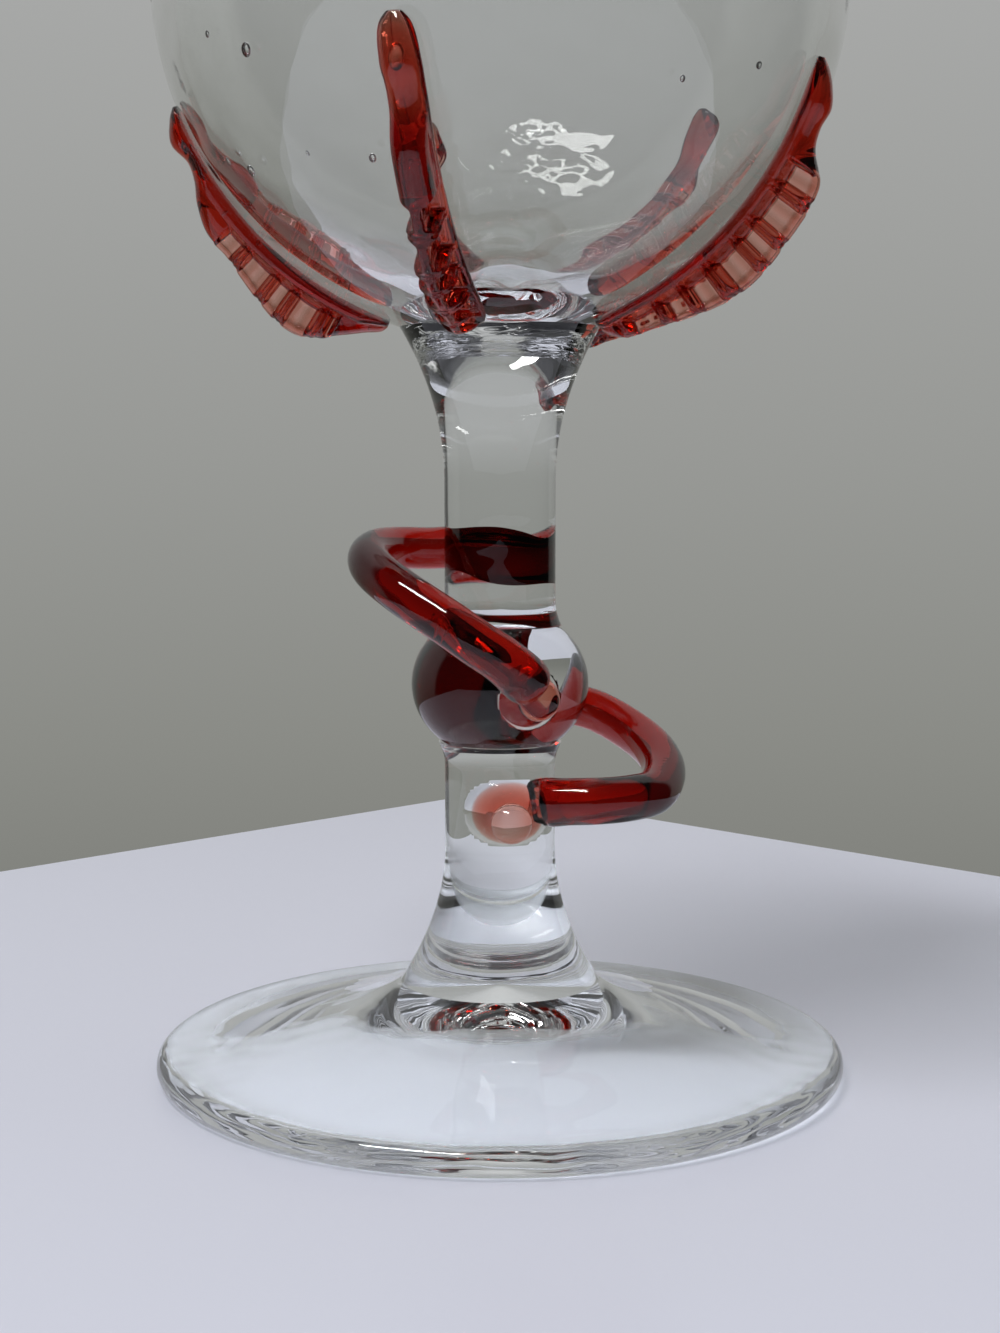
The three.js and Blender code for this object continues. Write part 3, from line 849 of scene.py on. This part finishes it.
def drop_on_stem(name, turn, height, off, radii, rise=0.0):
    """A ball of glass pressed to three radii, across, up and outward.

    It sits off the stem, or the knop, at a compass angle and a height, and rises out from there."""
    seat = on_stem_at(turn, height, off)
    outward = Vector((seat.x, seat.y, 0)).normalized()
    bpy.ops.object.select_all(action="DESELECT")
    bpy.ops.mesh.primitive_uv_sphere_add(segments=64, ring_count=32, radius=1)
    ball = bpy.context.object
    ball.name = ball.data.name = name
    ball.scale = radii
    ball.rotation_euler = outward.to_track_quat("Z", "Y").to_euler()
    ball.location = seat + outward * rise
    bpy.ops.object.transform_apply(location=True, rotation=True, scale=True)
    bpy.ops.object.shade_smooth()
    return ball


def melt_on(piece, ball, operation):
    """Runs a ball of glass into a piece, or presses its shape out of it, and takes the ball away."""
    hold(piece)
    cut = piece.modifiers.new("melt", "BOOLEAN")
    cut.object = ball
    cut.operation = operation
    cut.solver = "MANIFOLD"
    bpy.ops.object.modifier_apply(modifier=cut.name)
    bpy.data.objects.remove(ball)


def fire_round(piece, steps):
    """Rounds every crease of a piece, as the flame does: its skin is drawn anew and eased."""
    hold(piece)
    skin = piece.modifiers.new("skin", "REMESH")
    skin.mode = "VOXEL"
    skin.voxel_size = MELT_GRAIN
    bpy.ops.object.modifier_apply(modifier=skin.name)
    ease = piece.modifiers.new("ease", "SMOOTH")
    ease.iterations = steps
    bpy.ops.object.modifier_apply(modifier=ease.name)
    bpy.ops.object.shade_smooth()


def fuse(piece, other):
    """Marks how far inside another piece each point of this one lies, as the two are one glass."""
    attributes = piece.data.attributes
    fused = attributes.get("fused") or attributes.new("fused", "FLOAT", "POINT")
    points = [vertex.co for vertex in other.data.vertices]
    skin = BVHTree.FromPolygons(points, [face.vertices for face in other.data.polygons])
    for vertex, mark in zip(piece.data.vertices, fused.data):
        place, normal, _, _ = skin.find_nearest(vertex.co, 2 * ROD_RADIUS)
        if place:
            mark.value = max(mark.value, smooth_step(0, SEAM, (place - vertex.co).dot(normal)))


def darken_roots(rod):
    """Marks where a rod is painted darker: wherever its root, at the back, is fused."""
    darkened_root = rod.data.attributes.new("darkened_root", "FLOAT", "POINT")
    fused = rod.data.attributes["fused"]
    for vertex, mark, join in zip(rod.data.vertices, darkened_root.data, fused.data):
        mark.value = join.value * smooth_step(0, ROD_RADIUS, vertex.co.y)


def core_of(base):
    """A copy of a piece of the stem, thinner by the depth that the ruby sinks into it."""
    core = base.copy()
    core.data = base.data.copy()
    bpy.context.collection.objects.link(core)
    share = 1 - ROD_SUNK / STEM_RADIUS
    core.scale = (share, share, 1)
    hold(core)
    bpy.ops.object.transform_apply(scale=True)
    return core


def press_on(rod, turn, height, spread, proud):
    """Spreads a drop of the rod on the stem, up and across, at a compass angle and a height.

    It is as thick again inside the stem, and that half is widest."""
    up, across = spread
    melt_on(rod, drop_on_stem("pressed", turn, height, -proud, (across, up, 2 * proud)), "UNION")


def well_up(base, turn, height, spread):
    """Clear glass of the base wells up round what was pressed on it."""
    up, across = spread
    radii = (across + WELL_WIDTH, up + WELL_WIDTH, WELL_DEPTH)
    melt_on(base, drop_on_stem("well", turn, height, -WELL_SINK, radii), "UNION")


def dent(rod, turn, height, floor, radius, flattening):
    """Presses the shape of a ball out of a rod, down to a floor that lies off the stem."""
    depth = flattening * radius
    ball = drop_on_stem("dent", turn, height, floor, (radius, radius, depth), rise=depth)
    melt_on(rod, ball, "DIFFERENCE")


on_stem = STEM_RADIUS + ROD_RADIUS
on_knop = knop_radius + ROD_RADIUS
upper_points = route_points(
    UPPER_LOOP_SHARES, (on_stem, knop_top + UPPER_LOOP_START), (on_knop, knop_middle), UPPER_LOOP_SWING
)
lower_points = route_points(
    LOWER_LOOP_SHARES, (on_knop, knop_middle), (on_stem, knop_bottom - LOWER_LOOP_END_DROP), LOWER_LOOP_SWING
)

# Each rod by its node, with its skin and the piece that its blob is pressed on. Its pads, at the
# root, and its blob are each a compass angle, a height and how far they spread up and across, and
# a pad also has how proud it is. The print of the tool in the blob, and the lens in the scar, are
# each a compass angle, a height and a radius, and the print also has how far off the base it ends.
RODS = {
    "upper_loop": {
        "skin": rod_skin(upper_points, WIDE_ROOT_SHARES),
        "base": knop,
        "pads": [
            (-172, knop_top + 8.6 * MM, (2.7 * MM, 2.8 * MM), 1.6 * MM),
            (-190, knop_top + 7.1 * MM, (2.7 * MM, 2.8 * MM), 1.6 * MM),
        ],
        "blob": (20, knop_middle - 0.6 * MM, (2.9 * MM, 3 * MM)),
        "print": (21, knop_middle - 1.2 * MM, 2.2 * MM, 1 * MM),
        "lens": (20.5, knop_middle - 0.6 * MM, 2.3 * MM),
    },
    "lower_loop": {
        "skin": rod_skin(lower_points, THIN_ROOT_SHARES),
        "base": lower_stem,
        "pads": [(194, knop_middle - 1.2 * MM, (3 * MM, 3.7 * MM), 0.9 * MM)],
        "blob": (10, knop_bottom - 7.4 * MM, (3.9 * MM, 3.9 * MM)),
        "print": (8.5, knop_bottom - 6.6 * MM, 4.2 * MM, 1.2 * MM),
        "lens": (9, knop_bottom - 8.3 * MM, 2.2 * MM),
    },
}
for node, made in RODS.items():
    rod = wrapped(node + "_glass", ROD_COLUMNS, ROD_ROWS, made["skin"])
    for turn, height, spread, proud in made["pads"]:
        press_on(rod, turn, height, spread, proud)
    press_on(rod, *made["blob"], BLOB_PROUD)
    melt_on(rod, core_of(made["base"]), "DIFFERENCE")
    turn, height, radius, off = made["print"]
    dent(rod, turn, height, off, radius, PRINT_FLATTENING)
    fire_round(rod, MELT_STEPS)
    well_up(made["base"], *made["blob"])
    turn, height, radius = made["lens"]
    dent(rod, turn, height, SCAR_FLOOR, radius, LENS_FLATTENING)
    rise = LENS_FLATTENING * radius
    radius += SEAM
    radii = (radius, radius, LENS_FLATTENING * radius)
    clear = drop_on_stem(node + "_lens", turn, height, SCAR_FLOOR, radii, rise)
    clear.data.materials.append(soda_lime)
    for piece in (lower_stem, knop, upper_stem):
        for glass in (rod, clear):
            fuse(piece, glass)
            fuse(glass, piece)
    darken_roots(rod)
    fuse(rod, clear)
    fuse(clear, rod)
    fix(rod, node)
    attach(clear, "root")


# Table
# A square table top in white laminate, seen from above one corner, with another corner a hand's
# width behind the vase. Its satin face mirrors the foot faintly.
TABLE_SIDE = 1100 * MM
TABLE_THICKNESS = 25 * MM
TABLE_TURN = 45
TABLE_CORNER = (-2.5 * MM, 196 * MM)
bpy.ops.object.select_all(action="DESELECT")
bpy.ops.mesh.primitive_plane_add(size=TABLE_SIDE)
table = bpy.context.object
table.name = "table"
bpy.ops.object.mode_set(mode="EDIT")
bpy.ops.mesh.select_all(action="SELECT")
bpy.ops.transform.rotate(value=math.radians(TABLE_TURN), orient_axis="Z", center_override=(0, 0, 0))
table_middle = (TABLE_CORNER[0], TABLE_CORNER[1] - TABLE_SIDE / math.sqrt(2), -TABLE_THICKNESS)
bpy.ops.transform.translate(value=table_middle)
bpy.ops.mesh.extrude_region_move(TRANSFORM_OT_translate={"value": (0, 0, TABLE_THICKNESS)})
face_outward()

# White laminate, pressed satin: a cool white that mirrors softly at a low angle.
laminate, tree, output = new_material("white laminate")
face = add_node(
    tree, "ShaderNodeBsdfPrincipled", {"Base Color": linear("#CDCFDC"), "Roughness": 0.3, "IOR": 1.45}
)
tree.links.new(face.outputs[0], output.inputs["Surface"])
table.data.materials.append(laminate)


# Light
# A grey room, lit softly all round and by one window in front on the left. Its far wall is
# darker towards the floor, and glass shows the rest of the room dark.
WALL_TONES = [
    (0.0, "#5A5A57"),
    (0.38, "#7C7D78"),
    (0.43, "#8A8B86"),
    (0.5, "#989996"),
    (0.61, "#A8A9A8"),
    (0.8, "#ACADAD"),
    (1.0, "#DCDDDE"),
]
WALL_FACING = (-0.24, 1, 0)
WALL_EDGE = (0.22, 0.36)
DARK_ROOM = 0.06
ROOM_LIGHT = 0.49
room = bpy.data.worlds.new("room")
bpy.context.scene.world = room
room.use_nodes = True
tree = room.node_tree
tree.nodes.clear()
direction = add_node(tree, "ShaderNodeTexCoord").outputs["Generated"]
split = add_node(tree, "ShaderNodeSeparateXYZ", links={0: direction})
height = add_node(
    tree, "ShaderNodeMapRange", {"From Min": -1.0, "From Max": 1.0}, {"Value": split.outputs["Z"]}
)
wall = add_node(tree, "ShaderNodeValToRGB", links={"Fac": height.outputs["Result"]})
stops = wall.color_ramp.elements
stops[0].position, stops[0].color = WALL_TONES[0][0], linear(WALL_TONES[0][1])
stops[1].position, stops[1].color = WALL_TONES[-1][0], linear(WALL_TONES[-1][1])
for place, tone in WALL_TONES[1:-1]:
    stops.new(place).color = linear(tone)
ahead = add_node(tree, "ShaderNodeVectorMath", {1: WALL_FACING}, {0: direction}, operation="DOT_PRODUCT")
facing = add_node(
    tree,
    "ShaderNodeMapRange",
    {"From Min": WALL_EDGE[0], "From Max": WALL_EDGE[1], "To Min": DARK_ROOM, "To Max": 1.0},
    {"Value": ahead.outputs["Value"]},
    interpolation_type="SMOOTHSTEP",
)
seen = add_node(
    tree,
    "ShaderNodeBackground",
    links={"Color": wall.outputs["Color"], "Strength": facing.outputs["Result"]},
)
ambient = add_node(tree, "ShaderNodeBackground", {"Color": linear("#FFFFFF"), "Strength": ROOM_LIGHT})

# The camera, mirrors and glass see the room, and everything else is lit by its plain light.
path = add_node(tree, "ShaderNodeLightPath")
shown = path.outputs["Is Camera Ray"]
for ray in ("Is Glossy Ray", "Is Transmission Ray"):
    shown = add_node(
        tree, "ShaderNodeMath", links={0: shown, 1: path.outputs[ray]}, operation="MAXIMUM"
    ).outputs[0]
mixed = add_node(tree, "ShaderNodeMixShader", links={0: shown, 1: ambient.outputs[0], 2: seen.outputs[0]})
add_node(tree, "ShaderNodeOutputWorld", links={"Surface": mixed.outputs[0]})

WINDOW_PLACE = Vector((-0.4, -0.42, 1.12))
WINDOW_SIZE = (0.6, 0.13)
WINDOW_AIM = Vector((0, 0, 0.08))
WINDOW_POWER = 10
bpy.ops.object.select_all(action="DESELECT")
bpy.ops.object.light_add(type="AREA", location=WINDOW_PLACE)
window = bpy.context.object
window.rotation_euler = (WINDOW_AIM - WINDOW_PLACE).to_track_quat("-Z", "Y").to_euler()
window.data.shape = "RECTANGLE"
window.data.size, window.data.size_y = WINDOW_SIZE
window.data.energy = WINDOW_POWER


# Camera
# Close in front and a little above the knop, tipped down towards the foot. The top of the globe,
# the neck and the lip are out of its view.
CAMERA_PLACE = (0, -0.2376, 0.0718)
CAMERA_TIP = 5.92
LENS_LENGTH = 55.85
SENSOR_HEIGHT = 36
CLIP_START = 0.01
GLASS_BOUNCES = 32
bpy.ops.object.camera_add(location=CAMERA_PLACE, rotation=(math.radians(90 - CAMERA_TIP), 0, 0))
camera = bpy.context.object
camera.data.sensor_fit = "VERTICAL"
camera.data.sensor_height = SENSOR_HEIGHT
camera.data.lens = LENS_LENGTH
camera.data.clip_start = CLIP_START
scene = bpy.context.scene
scene.camera = camera
scene.view_settings.view_transform = "Standard"

# Light crosses many skins of glass on its way through the vase.
scene.cycles.max_bounces = GLASS_BOUNCES
scene.cycles.transmission_bounces = GLASS_BOUNCES
scene.cycles.glossy_bounces = GLASS_BOUNCES
scene.cycles.transparent_max_bounces = 2 * GLASS_BOUNCES
